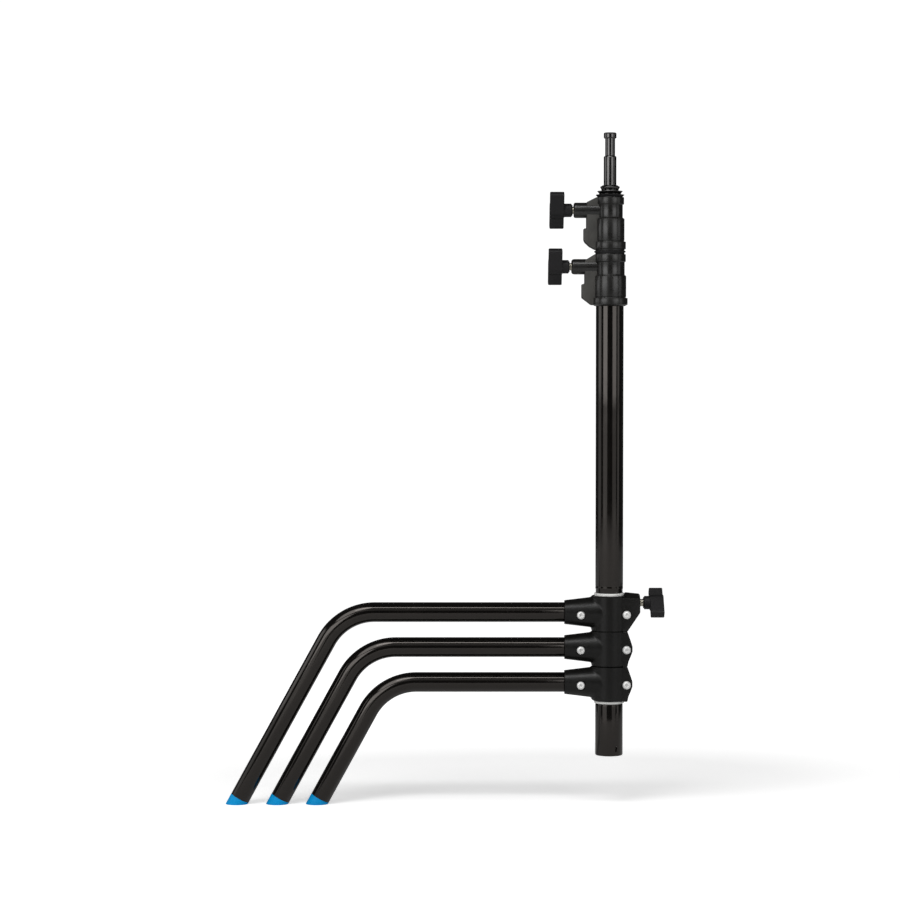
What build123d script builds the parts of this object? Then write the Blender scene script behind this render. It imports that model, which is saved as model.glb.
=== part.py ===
from build123d import *

import os
from math import atan2, cos, radians, sin, tan

os.makedirs("parts", exist_ok=True)

# Folded stand with three nested legs. Millimetres, +Z up, the floor at z = 0.
# The riser axis is the Z axis, the folded legs point along -X, and the front is -Y.

# Radial clearances
running_fit = 0.05      # a tube, stud or hub that turns or slides in its bush
spigot_fit = 0.10       # the column's spigot in the base tube
bonded_fit = 0.03       # pieces that are pressed, pinned or glued together
face_gap = 0.10         # faces of different moving pieces that rest on each other
pad_gap = 0.30          # a clamp pad and the tube that it presses

# Legs
leg_d = 25.0
leg_wall = 2.0
leg_slope = 61.2        # degrees between the sloping run and the floor
leg_bend_r = 70.0       # centreline radius
leg_inner_x = -24.5     # where the leg ends inside its hub
leg_corner_x = {"low": -286.4, "mid": -312.5, "top": -339.5}
foot_toe = 2.0          # thickness of a foot at its thin edge
foot_plug_length = 20.0

# Base tube, which carries the three hubs
base_tube_z = 63.0      # lower end above the floor
base_tube_d = 35.0
base_tube_bore = 28.6
base_tube_length = 66.4  # below the shoulder
base_neck_d = 32.0      # above the shoulder, inside the hubs
base_neck_over = 2.4    # neck above the top hub
base_edge_r = 2.5
base_pin_hole_d = 4.0
base_pin_hole_over = 10.6
base_pin_hole_turn = 28.0

# Hubs
hub_height = 44.5
hub_r = 22.6
hub_bush_wall = 1.5
hub_edge = 2.0
leg_axis_over_middle = 1.1
socket_end_x = -56.8
socket_end_r = 15.25
socket_root_x = -14.0
socket_root_r = 20.4
ear_y = 17.0
slit_width = 2.0
boss_end_x = 38.5       # the top hub's ear, which holds the base knob
boss_low_z_over = 24.0
boss_eave_over = 42.0
boss_ridge_over = 48.8
boss_end_ridge_over = 46.4
base_lock_over = 35.4   # knob axis above the top hub's lower face

# Washers
lower_washer_height = 2.9
column_washer_height = 3.4
washer_r = 18.9

# Hub fasteners
bolt_d = 6.0
bolt_head_d = 10.6
bolt_head_height = 3.3
bolt_key = 4.0
nut_across_flats = 10.0
nut_height = 5.0
counterbore_d = 12.4
leg_bolt_x = -36.5
leg_bolt_under = 1.5
leg_bolt_seat_y = 14.8
pinch_bolt_x = 21.4
pinch_bolt_under = 1.0

# Column and risers: outer diameter, wall and length
column_d = 35.0
column_wall = 1.5
column_length = 402.3
riser_2_d = 30.0
riser_2_wall = 1.5
riser_3_d = 25.0
riser_3_wall = 1.5
riser_2_bottom_over = 26.3   # above the column's lower end
riser_3_bottom_over = 4.0    # above the second riser's lower end
guide_height = 25.0
guide_lip = 3.0
guide_lip_wall = 2.5

# Column plug
plug_in_column = 22.0
plug_in_base = 79.5
plug_bore = 20.0
plug_pin_d = 5.0
plug_pin_over = 12.0        # above the column's lower end

# Collars: each is a cast sleeve with rings, a web and a screw boss on its left side
lower_collar_height = 65.4
upper_collar_height = 67.7
lower_collar_under_column_top = 38.6
upper_collar_shoulder_over = 40.6
bush_wall = 1.5
bush_seat_depth = 25.0
web_half = 8.0
collar_boss_d = 19.5
lower_boss_chamfer = 4.2
upper_boss_chamfer = 2.8
grub_d = 5.0
grub_wall = 2.8             # length of a collar's grub screws

# Lock screws
stud_d = 10.0
pad_d = 7.8
pad_length = 7.0
stud_in_knob = 10.0
knob_boss_r = 10.0
knob_wing_reach = 25.0
knob_wing_thickness = 11.5
knob_stem_r = 8.55
knob_corner_r = 3.0
knob_stem_chamfer = 1.8
collar_knob_lean = 22.0     # degrees that the upper wing leans to the front
base_knob_lean = -45.0      # and to the back
base_knob_x = 43.1          # where each knob's stem begins
lower_knob_x = -51.1
upper_knob_x = -47.5
base_knob_length = 17.3
lower_boss_end_x = -48.9
upper_boss_end_x = -46.0

# Top pin
pin_d = 16.0
pin_neck_d = 12.5
pin_head_height = 7.1
pin_neck_height = 22.4
pin_body_height = 36.7
pin_cap_height = 11.6
pin_tail_d = 10.0
pin_tail_length = 30.0
pin_spigot_length = 38.0
cross_pin_d = 4.0


up = (Align.CENTER, Align.CENTER, Align.MIN)


def turned(points):
    """A solid of revolution about Z through (radius, height) points."""
    outline = Polyline([(r, 0, z) for r, z in points], close=True)
    return revolve(make_face(outline), Axis.Z)


def pipe(outer_r, inner_r, low_z, high_z):
    """A plain tube on the Z axis."""
    return turned([(inner_r, low_z), (outer_r, low_z), (outer_r, high_z), (inner_r, high_z)])


def rod_x(radius, x_a, x_b, z):
    """A round bar along X at height z, on the y = 0 plane."""
    middle = (x_a + x_b) / 2
    return Pos(middle, 0, z) * Rot(0, 90, 0) * Cylinder(radius, abs(x_b - x_a))


def rod_y(radius, x, z, y_a, y_b):
    """A round bar along Y."""
    middle = (y_a + y_b) / 2
    return Pos(x, middle, z) * Rot(90, 0, 0) * Cylinder(radius, abs(y_b - y_a))


def plate_y(points, half_thickness):
    """A plate across Y with an outline of (x, z) points."""
    face = make_face(Polyline([(x, 0, z) for x, z in points], close=True))
    return extrude(face, amount=half_thickness, dir=(0, 1, 0), both=True)


def put(node, shape):
    export_step(shape, f"parts/{node}.step")


# ---------------------------------------------------------------- heights up the stand
shoulder_z = base_tube_z + base_tube_length
hub_low_z = {}
next_z = shoulder_z + lower_washer_height + face_gap
for name in ("low", "mid", "top"):
    hub_low_z[name] = next_z
    next_z += hub_height + face_gap
hub_stack_top = next_z - face_gap
washer_low_z = hub_stack_top + face_gap
washer_top_z = washer_low_z + column_washer_height
neck_top_z = hub_stack_top + base_neck_over
column_low_z = washer_top_z + face_gap
column_top_z = column_low_z + column_length
base_lock_z = hub_low_z["top"] + base_lock_over

neck_r = base_neck_d / 2
base_bore_r = base_tube_bore / 2
leg_r = leg_d / 2


# ---------------------------------------------------------------- base tube and washers
def base_tube():
    outer_r = base_tube_d / 2
    body = turned([
        (base_bore_r, base_tube_z),
        (outer_r - 1, base_tube_z),
        (outer_r, base_tube_z + 1),
        (outer_r, shoulder_z - base_edge_r),
        (outer_r - 0.3 * base_edge_r, shoulder_z - 0.3 * base_edge_r),
        (outer_r - base_edge_r / 2, shoulder_z),
        (neck_r, shoulder_z),
        (neck_r, neck_top_z),
        (base_bore_r, neck_top_z),
    ])
    pin_hole = Cylinder(base_pin_hole_d / 2, 2 * base_tube_d)
    pin_hole = Rot(0, 0, base_pin_hole_turn) * Rot(90, 0, 0) * pin_hole
    body -= Pos(0, 0, base_tube_z + base_pin_hole_over) * pin_hole
    return body - rod_x(pad_d / 2 + 4 * running_fit, 0, base_tube_d, base_lock_z)


put("base_tube", base_tube())
lower_washer_bore = neck_r + bonded_fit
put("lower_washer", pipe(washer_r, lower_washer_bore, shoulder_z, shoulder_z + lower_washer_height))
column_washer_bore = neck_r + running_fit
put("column_washer", pipe(washer_r, column_washer_bore, washer_low_z, washer_top_z))


# ---------------------------------------------------------------- leg hubs
def socket(axis_z):
    """A tapered socket along -X. Its root ends in a ball that swells out of the barrel."""
    taper = atan2(socket_root_r - socket_end_r, socket_root_x - socket_end_x)
    ball_r = socket_root_r / cos(taper)
    ball_x = socket_root_x + ball_r * sin(taper)
    outline = [(0, socket_end_x), (socket_end_r, socket_end_x), (socket_root_r, socket_root_x)]
    for degrees in (0, 15, 30, 45, 60, 75):
        turn = radians(degrees)
        outline.append((ball_r * cos(turn), ball_x + ball_r * sin(turn)))
    outline.append((0, ball_x + ball_r))
    return Pos(0, 0, axis_z) * Rot(0, 90, 0) * turned(outline)


def pinch_ear(low_z, middle_z):
    outline = [
        (10, low_z),
        (22.4, low_z),
        (23.8, middle_z - 15.7),
        (26.5, middle_z - 9.4),
        (28.8, middle_z - 3.0),
        (28.8, middle_z + 3.3),
        (26.8, middle_z + 9.6),
        (22.4, low_z + hub_height),
        (10, low_z + hub_height),
    ]
    return plate_y(outline, ear_y)


def lock_ear(low_z):
    """The top hub's ear: a pinch ear that grows into a boss with a gabled top."""
    ridge_z = low_z + boss_ridge_over
    outline = [
        (10, low_z),
        (22.4, low_z),
        (boss_end_x, low_z + boss_low_z_over),
        (boss_end_x, low_z + boss_end_ridge_over),
        (20, ridge_z),
        (10, ridge_z),
    ]
    gable_points = [
        (10, -ear_y, low_z),
        (10, ear_y, low_z),
        (10, ear_y, low_z + boss_eave_over),
        (10, 0, ridge_z),
        (10, -ear_y, low_z + boss_eave_over),
    ]
    gable = extrude(make_face(Polyline(gable_points, close=True)), amount=boss_end_x, dir=(1, 0, 0))
    ear = plate_y(outline, ear_y) & gable
    seat = hub_low_z["top"] + hub_height
    seat_r = max(washer_r, column_d / 2) + 1
    return ear - Pos(0, 0, seat + 10) * Cylinder(seat_r, 20)


def leg_hub(name):
    low_z = hub_low_z[name]
    high_z = low_z + hub_height
    middle_z = (low_z + high_z) / 2
    axis_z = middle_z + leg_axis_over_middle
    low_edge = hub_edge if name == "low" else 0.4
    barrel = turned([
        (0, low_z),
        (hub_r - low_edge, low_z),
        (hub_r, low_z + low_edge),
        (hub_r, high_z - 0.4),
        (hub_r - 0.4, high_z),
        (0, high_z),
    ])
    slab = Pos(0, 0, middle_z) * Box(300, 300, hub_height)
    hub = barrel + (socket(axis_z) & slab)
    hub += lock_ear(low_z) if name == "top" else pinch_ear(low_z, middle_z)
    bore_r = neck_r + bonded_fit if name == "top" else neck_r + hub_bush_wall
    hub -= Pos(0, 0, middle_z) * Cylinder(bore_r, 2 * hub_height)
    hub -= rod_x(leg_r + bonded_fit, socket_end_x - 1, leg_inner_x, axis_z)
    leg_bolt_z = middle_z - leg_bolt_under
    pinch_bolt_z = middle_z - pinch_bolt_under
    hub -= rod_y(bolt_d / 2 + bonded_fit, leg_bolt_x, leg_bolt_z, -40, 40)
    hub -= rod_y(counterbore_d / 2, leg_bolt_x, leg_bolt_z, -40, -leg_bolt_seat_y)
    hub -= rod_y(counterbore_d / 2, leg_bolt_x, leg_bolt_z, leg_bolt_seat_y, 40)
    hub -= rod_y(bolt_d / 2 + bonded_fit, pinch_bolt_x, pinch_bolt_z, -40, 40)
    hub -= rod_y(counterbore_d / 2, pinch_bolt_x, pinch_bolt_z, -40, -ear_y)
    hub -= rod_y(counterbore_d / 2, pinch_bolt_x, pinch_bolt_z, ear_y, 40)
    slit_top = base_lock_z - stud_d / 2 - 3 if name == "top" else high_z + 1
    slit_height = slit_top - low_z + 1
    slit = Box(60, slit_width, slit_height, align=(Align.MIN, Align.CENTER, Align.MIN))
    hub -= Pos(10, 0, low_z - 1) * slit
    if name == "top":
        hub -= rod_x(stud_d / 2 + running_fit, 10, boss_end_x + 1, base_lock_z)
    return hub


def leg_path(name):
    axis_z = hub_low_z[name] + hub_height / 2 + leg_axis_over_middle
    corner_x = leg_corner_x[name]
    foot_x = corner_x - axis_z / tan(radians(leg_slope))
    # The tube's square end stands the foot's thin edge above the floor.
    end_z = leg_r * cos(radians(leg_slope)) + foot_toe * sin(radians(leg_slope))
    end_x = foot_x + end_z / tan(radians(leg_slope))
    return (leg_inner_x - face_gap, 0, axis_z), (corner_x, 0, axis_z), (end_x, 0, end_z)


def leg(name):
    start, corner, end = leg_path(name)
    path = FilletPolyline(start, corner, end, radius=leg_bend_r)
    section = Plane(origin=start, z_dir=(-1, 0, 0)) * (Circle(leg_r) - Circle(leg_r - leg_wall))
    tube = sweep(section, path)
    axis_z = start[2]
    bolt_z = axis_z - leg_axis_over_middle - leg_bolt_under
    return tube - rod_y(bolt_d / 2 + bonded_fit, leg_bolt_x, bolt_z, -40, 40)


def leg_foot(name):
    end = leg_path(name)[2]
    down = (-cos(radians(leg_slope)), 0, -sin(radians(leg_slope)))
    at_end = Plane(origin=end, z_dir=down)
    shoe = Cylinder(leg_r, leg_d * 2, align=up)
    plug_r = leg_r - leg_wall - bonded_fit
    plug = Cylinder(plug_r, foot_plug_length, align=(Align.CENTER, Align.CENTER, Align.MAX))
    above_floor = Pos(end[0], 0, 0) * Box(200, 200, 200, align=up)
    return (at_end * (shoe + plug)) & above_floor


# ---------------------------------------------------------------- hub fasteners
def button_bolt(x, z, seat_y, length):
    """A dome-headed socket bolt along +Y whose head sits on the plane y = -seat_y."""
    head_r = bolt_head_d / 2
    dome = turned([
        (0, -seat_y),
        (head_r, -seat_y),
        (head_r, -seat_y - 0.2 * bolt_head_height),
        (0.86 * head_r, -seat_y - 0.66 * bolt_head_height),
        (0.62 * head_r, -seat_y - 0.92 * bolt_head_height),
        (0.45 * head_r, -seat_y - bolt_head_height),
        (0, -seat_y - bolt_head_height),
    ])
    shank = Pos(0, 0, length / 2 - seat_y) * Cylinder(bolt_d / 2, length)
    key = extrude(RegularPolygon(bolt_key / 2, 6, major_radius=False), amount=2)
    key = Pos(0, 0, -seat_y - bolt_head_height) * key
    return Pos(x, 0, z) * Rot(-90, 0, 0) * (dome + shank - key)


def hex_nut(x, z, seat_y):
    outline = RegularPolygon(nut_across_flats / 2, 6, major_radius=False) - Circle(bolt_d / 2 + bonded_fit)
    nut = Pos(0, 0, seat_y) * extrude(outline, amount=nut_height)
    return Pos(x, 0, z) * Rot(-90, 0, 0) * nut


for name in ("low", "mid", "top"):
    hub_middle = hub_low_z[name] + hub_height / 2
    leg_bolt_z = hub_middle - leg_bolt_under
    pinch_bolt_z = hub_middle - pinch_bolt_under
    put(f"{name}_leg_hub", leg_hub(name))
    put(f"{name}_leg", leg(name))
    put(f"{name}_leg_foot", leg_foot(name))
    leg_bolt_length = 2 * leg_bolt_seat_y + nut_height
    pinch_bolt_length = 2 * ear_y + nut_height
    put(f"{name}_leg_bolt", button_bolt(leg_bolt_x, leg_bolt_z, leg_bolt_seat_y, leg_bolt_length))
    put(f"{name}_pinch_bolt", button_bolt(pinch_bolt_x, pinch_bolt_z, ear_y, pinch_bolt_length))
    put(f"{name}_leg_nut", hex_nut(leg_bolt_x, leg_bolt_z, leg_bolt_seat_y))
    put(f"{name}_pinch_nut", hex_nut(pinch_bolt_x, pinch_bolt_z, ear_y))

for name in ("low", "mid"):
    bush_low_z = hub_low_z[name]
    bush_outer_r = neck_r + hub_bush_wall - bonded_fit
    put(f"{name}_hub_bush", pipe(bush_outer_r, neck_r + running_fit, bush_low_z, bush_low_z + hub_height))


# ---------------------------------------------------------------- lock screws
def wing_knob(stem_x, body_x, end_x, z, lean):
    """A knob with two offset wings. It lies along X from stem_x to end_x.

    The knob is the same moulding on both sides of the stand, so its wings are offset the other
    way round when it points along +X.
    """
    length = abs(end_x - body_x)
    outward = 1 if end_x > body_x else -1
    outer_y = outward * knob_boss_r
    inner_y = outward * (knob_boss_r - knob_wing_thickness)
    side = [(0, outer_y, 0), (0, outer_y, knob_wing_reach), (0, inner_y, knob_wing_reach), (0, inner_y, 0)]
    wing = extrude(make_face(Polyline(side, close=True)), amount=length / 2, dir=(1, 0, 0), both=True)
    wing = fillet(wing.edges().filter_by(Axis.X).group_by(Axis.Z)[-1], knob_corner_r)
    body = wing + Rot(180, 0, 0) * wing + Rot(0, 90, 0) * Cylinder(knob_boss_r, length)
    body = Pos((body_x + end_x) / 2, 0, z) * Rot(lean, 0, 0) * body
    stem = Pos(0, 0, abs(body_x - stem_x) / 2) * Cylinder(knob_stem_r, abs(body_x - stem_x))
    stem = chamfer(stem.edges().group_by(Axis.Z)[0], knob_stem_chamfer)
    body += Pos(stem_x, 0, z) * Rot(0, 90 * outward, 0) * stem
    return body - rod_x(stud_d / 2 + bonded_fit, stem_x - outward, body_x + outward * stud_in_knob, z)


def lock_screw(prefix, tube_r, side, z, stem_gap_x, stem_length, body_length, lean):
    """The pad, stud and knob of one lock. side is +1 or -1 along X."""
    pad_inner = side * (tube_r + pad_gap)
    pad_outer = side * (tube_r + pad_gap + pad_length)
    body_x = stem_gap_x + side * stem_length
    end_x = body_x + side * body_length
    put(f"{prefix}_lock_pad", rod_x(pad_d / 2, pad_inner, pad_outer, z))
    put(f"{prefix}_lock_stud", rod_x(stud_d / 2, pad_outer, body_x + side * stud_in_knob, z))
    put(f"{prefix}_lock_knob", wing_knob(stem_gap_x, body_x, end_x, z, lean))


lock_screw("base", base_bore_r - spigot_fit, 1, base_lock_z, base_knob_x, 8.4, base_knob_length, base_knob_lean)


# ---------------------------------------------------------------- column and its plug
column_r = column_d / 2
column_bore_r = column_r - column_wall


def column_tube():
    tube = pipe(column_r, column_bore_r, column_low_z, column_top_z)
    return tube - rod_y(plug_pin_d / 2 + bonded_fit, 0, column_low_z + plug_pin_over, -40, 40)


def column_plug():
    """A stepped plug: the wide part is pinned in the column and the spigot enters the base tube."""
    wide_r = column_bore_r - bonded_fit
    spigot_r = base_bore_r - spigot_fit
    step_z = column_low_z + 0.5
    plug = turned([
        (plug_bore / 2, step_z - plug_in_base),
        (spigot_r - 1.5, step_z - plug_in_base),
        (spigot_r, step_z - plug_in_base + 1.5),
        (spigot_r, step_z),
        (wide_r, step_z),
        (wide_r, step_z + plug_in_column),
        (plug_bore / 2, step_z + plug_in_column),
    ])
    return plug - rod_y(plug_pin_d / 2 + bonded_fit, 0, column_low_z + plug_pin_over, -40, 40)


put("column_tube", column_tube())
put("column_plug", column_plug())
pin_half_length = column_r - 0.4
pin_z = column_low_z + plug_pin_over
put("column_plug_pin", rod_y(plug_pin_d / 2, 0, pin_z, -pin_half_length, pin_half_length))


# ---------------------------------------------------------------- collars
def finish_collar(body, low_z, high_z, tube_r, tube_top_z, bush_r, boss_z):
    """Bore a collar for the tube below, the bush above and the lock screw."""
    body -= Pos(0, 0, low_z - 1) * Cylinder(tube_r + bonded_fit, tube_top_z - low_z + 1, align=up)
    body -= Pos(0, 0, low_z) * Cylinder(bush_r + bonded_fit, high_z - low_z + 1, align=up)
    body -= rod_x(stud_d / 2 + running_fit, 0, -100, boss_z)
    return body


def grub_holes(radius, inner_r, outer_r, z, turns):
    """Round bars that point in at the riser axis, as screws or as the holes for them."""
    bars = []
    for turn in turns:
        bar = Rot(0, 0, turn) * rod_x(radius, inner_r, outer_r, z)
        bars.append(bar)
    return bars


riser_2_r = riser_2_d / 2
riser_3_r = riser_3_d / 2

lower_low_z = column_top_z - lower_collar_under_column_top
lower_high_z = lower_low_z + lower_collar_height
lower_boss_z = lower_low_z + 49.7
lower_bush_bore_r = riser_2_r + running_fit
lower_bush_r = lower_bush_bore_r + bush_wall
lip_low_z = lower_high_z + 2.2
lower_bush_top_z = lip_low_z + 2.0


def lower_collar():
    z = lower_low_z
    sleeve = turned([
        (10, z),
        (column_r + 1.6, z),
        (column_r + 5.0, z + 1.9),
        (column_r + 5.0, z + 10.0),
        (column_r + 2.6, z + 10.4),
        (column_r + 2.6, z + 11.4),
        (column_r + 3.15, z + 11.8),
        (column_r + 3.15, z + 37.8),
        (column_r + 1.2, z + 39.3),
        (column_r + 1.2, z + 55.4),
        (column_r + 2.6, z + 56.2),
        (column_r + 2.6, z + 65.0),
        (column_r + 2.2, lower_high_z),
        (10, lower_high_z),
    ])
    plate = plate_y([
        (-10, z + 1.2),
        (-24, z + 1.2),
        (-35.9, z + 10.3),
        (-35.9, z + 27.6),
        (-32.2, z + 27.6),
        (-32.2, z + 57.5),
        (-19.8, z + 65.2),
        (-10, z + 65.2),
    ], web_half)
    boss = turned_boss(-10, lower_boss_end_x, lower_boss_z, lower_boss_chamfer)
    body = sleeve + plate + boss
    return finish_collar(body, z, lower_high_z, column_r, column_top_z, lower_bush_r, lower_boss_z)


def turned_boss(root_x, end_x, z, end_chamfer):
    """A round screw boss with a chamfered end, along -X."""
    radius = collar_boss_d / 2
    boss = Cylinder(radius, root_x - end_x)
    boss = chamfer(boss.edges().group_by(Axis.Z)[-1], end_chamfer)
    return Pos((root_x + end_x) / 2, 0, z) * Rot(0, -90, 0) * boss


def lower_collar_bush():
    bush = turned([
        (lower_bush_bore_r, lower_high_z - bush_seat_depth),
        (lower_bush_r, lower_high_z - bush_seat_depth),
        (lower_bush_r, lower_high_z),
        (column_r + 0.9, lower_high_z),
        (column_r + 0.9, lip_low_z),
        (column_r + 2.4, lip_low_z),
        (column_r + 2.4, lower_bush_top_z),
        (lower_bush_bore_r, lower_bush_top_z),
    ])
    return bush - rod_x(stud_d / 2 + running_fit, 0, -100, lower_boss_z)


upper_low_z = lower_bush_top_z + face_gap
upper_high_z = upper_low_z + upper_collar_height
upper_boss_z = upper_low_z + 51.2
riser_2_top_z = upper_low_z + upper_collar_shoulder_over
upper_bush_bore_r = riser_3_r + running_fit
upper_bush_r = upper_bush_bore_r + bush_wall
upper_bush_top_z = upper_high_z + 3.2


def upper_collar():
    z = upper_low_z
    sleeve = turned([
        (10, z),
        (riser_2_r + 3.4, z),
        (riser_2_r + 3.4, z + 1.8),
        (riser_2_r + 5.1, z + 2.4),
        (riser_2_r + 5.1, z + 11.4),
        (riser_2_r + 2.9, z + 11.8),
        (riser_2_r + 2.9, z + 12.6),
        (riser_2_r + 3.35, z + 12.9),
        (riser_2_r + 3.35, z + 40.4),
        (riser_2_r + 1.15, z + 41.8),
        (riser_2_r + 1.15, z + 58.2),
        (riser_2_r + 2.75, z + 58.8),
        (riser_2_r + 2.75, z + 67.2),
        (riser_2_r + 2.3, upper_high_z),
        (10, upper_high_z),
    ])
    plate = plate_y([
        (-10, z + 1.4),
        (-19.5, z + 1.4),
        (-26, z + 4.9),
        (-31.8, z + 10.2),
        (-33.5, z + 13.2),
        (-33.5, z + 28),
        (-30, z + 28),
        (-30, z + 61.2),
        (-18, z + 67.2),
        (-10, z + 67.2),
    ], web_half)
    boss = turned_boss(-10, upper_boss_end_x, upper_boss_z, upper_boss_chamfer)
    body = sleeve + plate + boss
    return finish_collar(body, z, upper_high_z, riser_2_r, riser_2_top_z, upper_bush_r, upper_boss_z)


def upper_collar_bush():
    bush = turned([
        (upper_bush_bore_r, upper_high_z - bush_seat_depth),
        (upper_bush_r, upper_high_z - bush_seat_depth),
        (upper_bush_r, upper_high_z),
        (riser_3_r + 3.3, upper_high_z),
        (riser_3_r + 5.75, upper_bush_top_z - 0.4),
        (riser_3_r + 5.35, upper_bush_top_z),
        (upper_bush_bore_r, upper_bush_top_z),
    ])
    return bush - rod_x(stud_d / 2 + running_fit, 0, -100, upper_boss_z)


def with_grubs(collar, prefix, tube_r, z):
    """Cut the rear grub screw holes into a collar and make the screws."""
    turns = (60, 120)
    for hole in grub_holes(grub_d / 2 + bonded_fit, tube_r, 2 * tube_r, z, turns):
        collar -= hole
    screws = grub_holes(grub_d / 2, tube_r + bonded_fit, tube_r + bonded_fit + grub_wall, z, turns)
    put(f"{prefix}_collar_grub_screws", Compound(children=screws))
    put(f"{prefix}_collar", collar)


with_grubs(lower_collar(), "lower", column_r, lower_low_z + 24)
put("lower_collar_bush", lower_collar_bush())
with_grubs(upper_collar(), "upper", riser_2_r, upper_low_z + 24)
put("upper_collar_bush", upper_collar_bush())
lock_screw("lower", riser_2_r, -1, lower_boss_z, lower_knob_x, 9.4, 17.4, collar_knob_lean)
lock_screw("upper", riser_3_r, -1, upper_boss_z, upper_knob_x, 10.7, 18.0, collar_knob_lean)


# ---------------------------------------------------------------- risers and their guides
def guide(tube_r, bore_r, low_z):
    """A nylon ring on a riser's lower end, with a lip under the tube."""
    outer_r = bore_r - running_fit
    tube_seat_z = low_z + guide_lip
    return turned([
        (tube_r - guide_lip_wall, low_z),
        (outer_r, low_z),
        (outer_r, low_z + guide_height),
        (tube_r + running_fit, low_z + guide_height),
        (tube_r + running_fit, tube_seat_z),
        (tube_r - guide_lip_wall, tube_seat_z),
    ])


riser_2_low_z = column_low_z + riser_2_bottom_over
riser_2_bore_r = riser_2_r - riser_2_wall
riser_2_guide_z = riser_2_low_z - guide_lip - face_gap
put("riser_2_guide", guide(riser_2_r, column_bore_r, riser_2_guide_z))
put("riser_2_tube", pipe(riser_2_r, riser_2_bore_r, riser_2_low_z, riser_2_top_z))

riser_3_low_z = riser_2_low_z + riser_3_bottom_over
riser_3_bore_r = riser_3_r - riser_3_wall
riser_3_guide_z = riser_3_low_z - guide_lip - face_gap
cap_low_z = upper_bush_top_z + pad_gap
riser_3_top_z = cap_low_z
cross_pin_z = cap_low_z - 14
put("riser_3_guide", guide(riser_3_r, riser_2_bore_r, riser_3_guide_z))
riser_3 = pipe(riser_3_r, riser_3_bore_r, riser_3_low_z, riser_3_top_z)
put("riser_3_tube", riser_3 - rod_y(cross_pin_d / 2 + bonded_fit, 0, cross_pin_z, -30, 30))


# ---------------------------------------------------------------- pin base and top pin
def pin_base():
    """A turned cap with two flared rings and a spigot in the third riser."""
    z = cap_low_z
    spigot_r = riser_3_bore_r - bonded_fit
    cap = turned([
        (pin_tail_d / 2 + bonded_fit, z - pin_spigot_length),
        (spigot_r - 1, z - pin_spigot_length),
        (spigot_r, z - pin_spigot_length + 1),
        (spigot_r, z),
        (13.75, z),
        (13.75, z + 0.9),
        (16.0, z + 3.9),
        (15.6, z + 4.4),
        (10.7, z + 4.6),
        (10.7, z + 5.4),
        (12.5, z + 9.2),
        (12.1, z + 9.8),
        (9.5, z + pin_cap_height),
        (pin_tail_d / 2 + bonded_fit, z + pin_cap_height),
    ])
    return cap - rod_y(cross_pin_d / 2 + bonded_fit, 0, cross_pin_z, -30, 30)


def baby_pin():
    z = cap_low_z + pin_cap_height
    body_top = z + pin_body_height
    neck_top = body_top + pin_neck_height
    pin_top = neck_top + pin_head_height
    pin = turned([
        (0, z - pin_tail_length),
        (pin_tail_d / 2, z - pin_tail_length),
        (pin_tail_d / 2, z),
        (pin_d / 2, z),
        (pin_d / 2, body_top - 1.2),
        (pin_d / 2 - 1.2, body_top),
        (pin_neck_d / 2, body_top),
        (pin_neck_d / 2, neck_top),
        (pin_d / 2 - 0.8, neck_top),
        (pin_d / 2, neck_top + 0.8),
        (pin_d / 2, pin_top - 0.8),
        (pin_d / 2 - 0.8, pin_top),
        (0, pin_top),
    ])
    return pin - rod_y(cross_pin_d / 2 + bonded_fit, 0, cross_pin_z, -30, 30)


put("pin_base", pin_base())
put("baby_pin", baby_pin())
cross_pin_half = riser_3_r - 0.4
put("pin_cross_pin", rod_y(cross_pin_d / 2, 0, cross_pin_z, -cross_pin_half, cross_pin_half))
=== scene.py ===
from math import atan, cos, pi, radians, sin, tan

import bpy
from mathutils import Matrix, Vector


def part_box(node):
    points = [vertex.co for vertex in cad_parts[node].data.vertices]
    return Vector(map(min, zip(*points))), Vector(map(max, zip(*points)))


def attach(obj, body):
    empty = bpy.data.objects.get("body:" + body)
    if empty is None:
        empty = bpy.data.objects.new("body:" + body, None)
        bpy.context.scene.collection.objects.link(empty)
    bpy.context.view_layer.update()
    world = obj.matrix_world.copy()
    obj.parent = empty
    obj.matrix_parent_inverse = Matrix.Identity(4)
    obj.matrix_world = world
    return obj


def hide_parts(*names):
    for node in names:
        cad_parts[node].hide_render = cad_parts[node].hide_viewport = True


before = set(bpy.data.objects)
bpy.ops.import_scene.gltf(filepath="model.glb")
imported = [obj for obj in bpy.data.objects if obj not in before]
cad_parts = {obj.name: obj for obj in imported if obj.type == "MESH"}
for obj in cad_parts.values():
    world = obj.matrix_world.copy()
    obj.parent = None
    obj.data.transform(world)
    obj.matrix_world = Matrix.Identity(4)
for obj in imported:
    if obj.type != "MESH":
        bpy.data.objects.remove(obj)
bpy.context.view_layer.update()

mm = 0.001

# ------------------------------------------------------------------ studio
# A pale floor, a white surround, and large soft panels to the left, to the right and above.
# The stand is seen from the front, a little above its middle.
view_distance = 3.29
camera_side = -0.2023
camera_height = 0.565
look_height = 0.4511
camera_data = bpy.data.cameras.new("camera")
camera_data.sensor_width = 36
camera_data.lens = 103.8
camera_data.clip_end = 60
camera = bpy.data.objects.new("camera", camera_data)
bpy.context.collection.objects.link(camera)
camera.location = (camera_side, -view_distance, camera_height)
camera.rotation_euler = (radians(90) - atan((camera_height - look_height) / view_distance), 0, 0)
bpy.context.scene.camera = camera
bpy.context.scene.view_settings.view_transform = "Standard"

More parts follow.
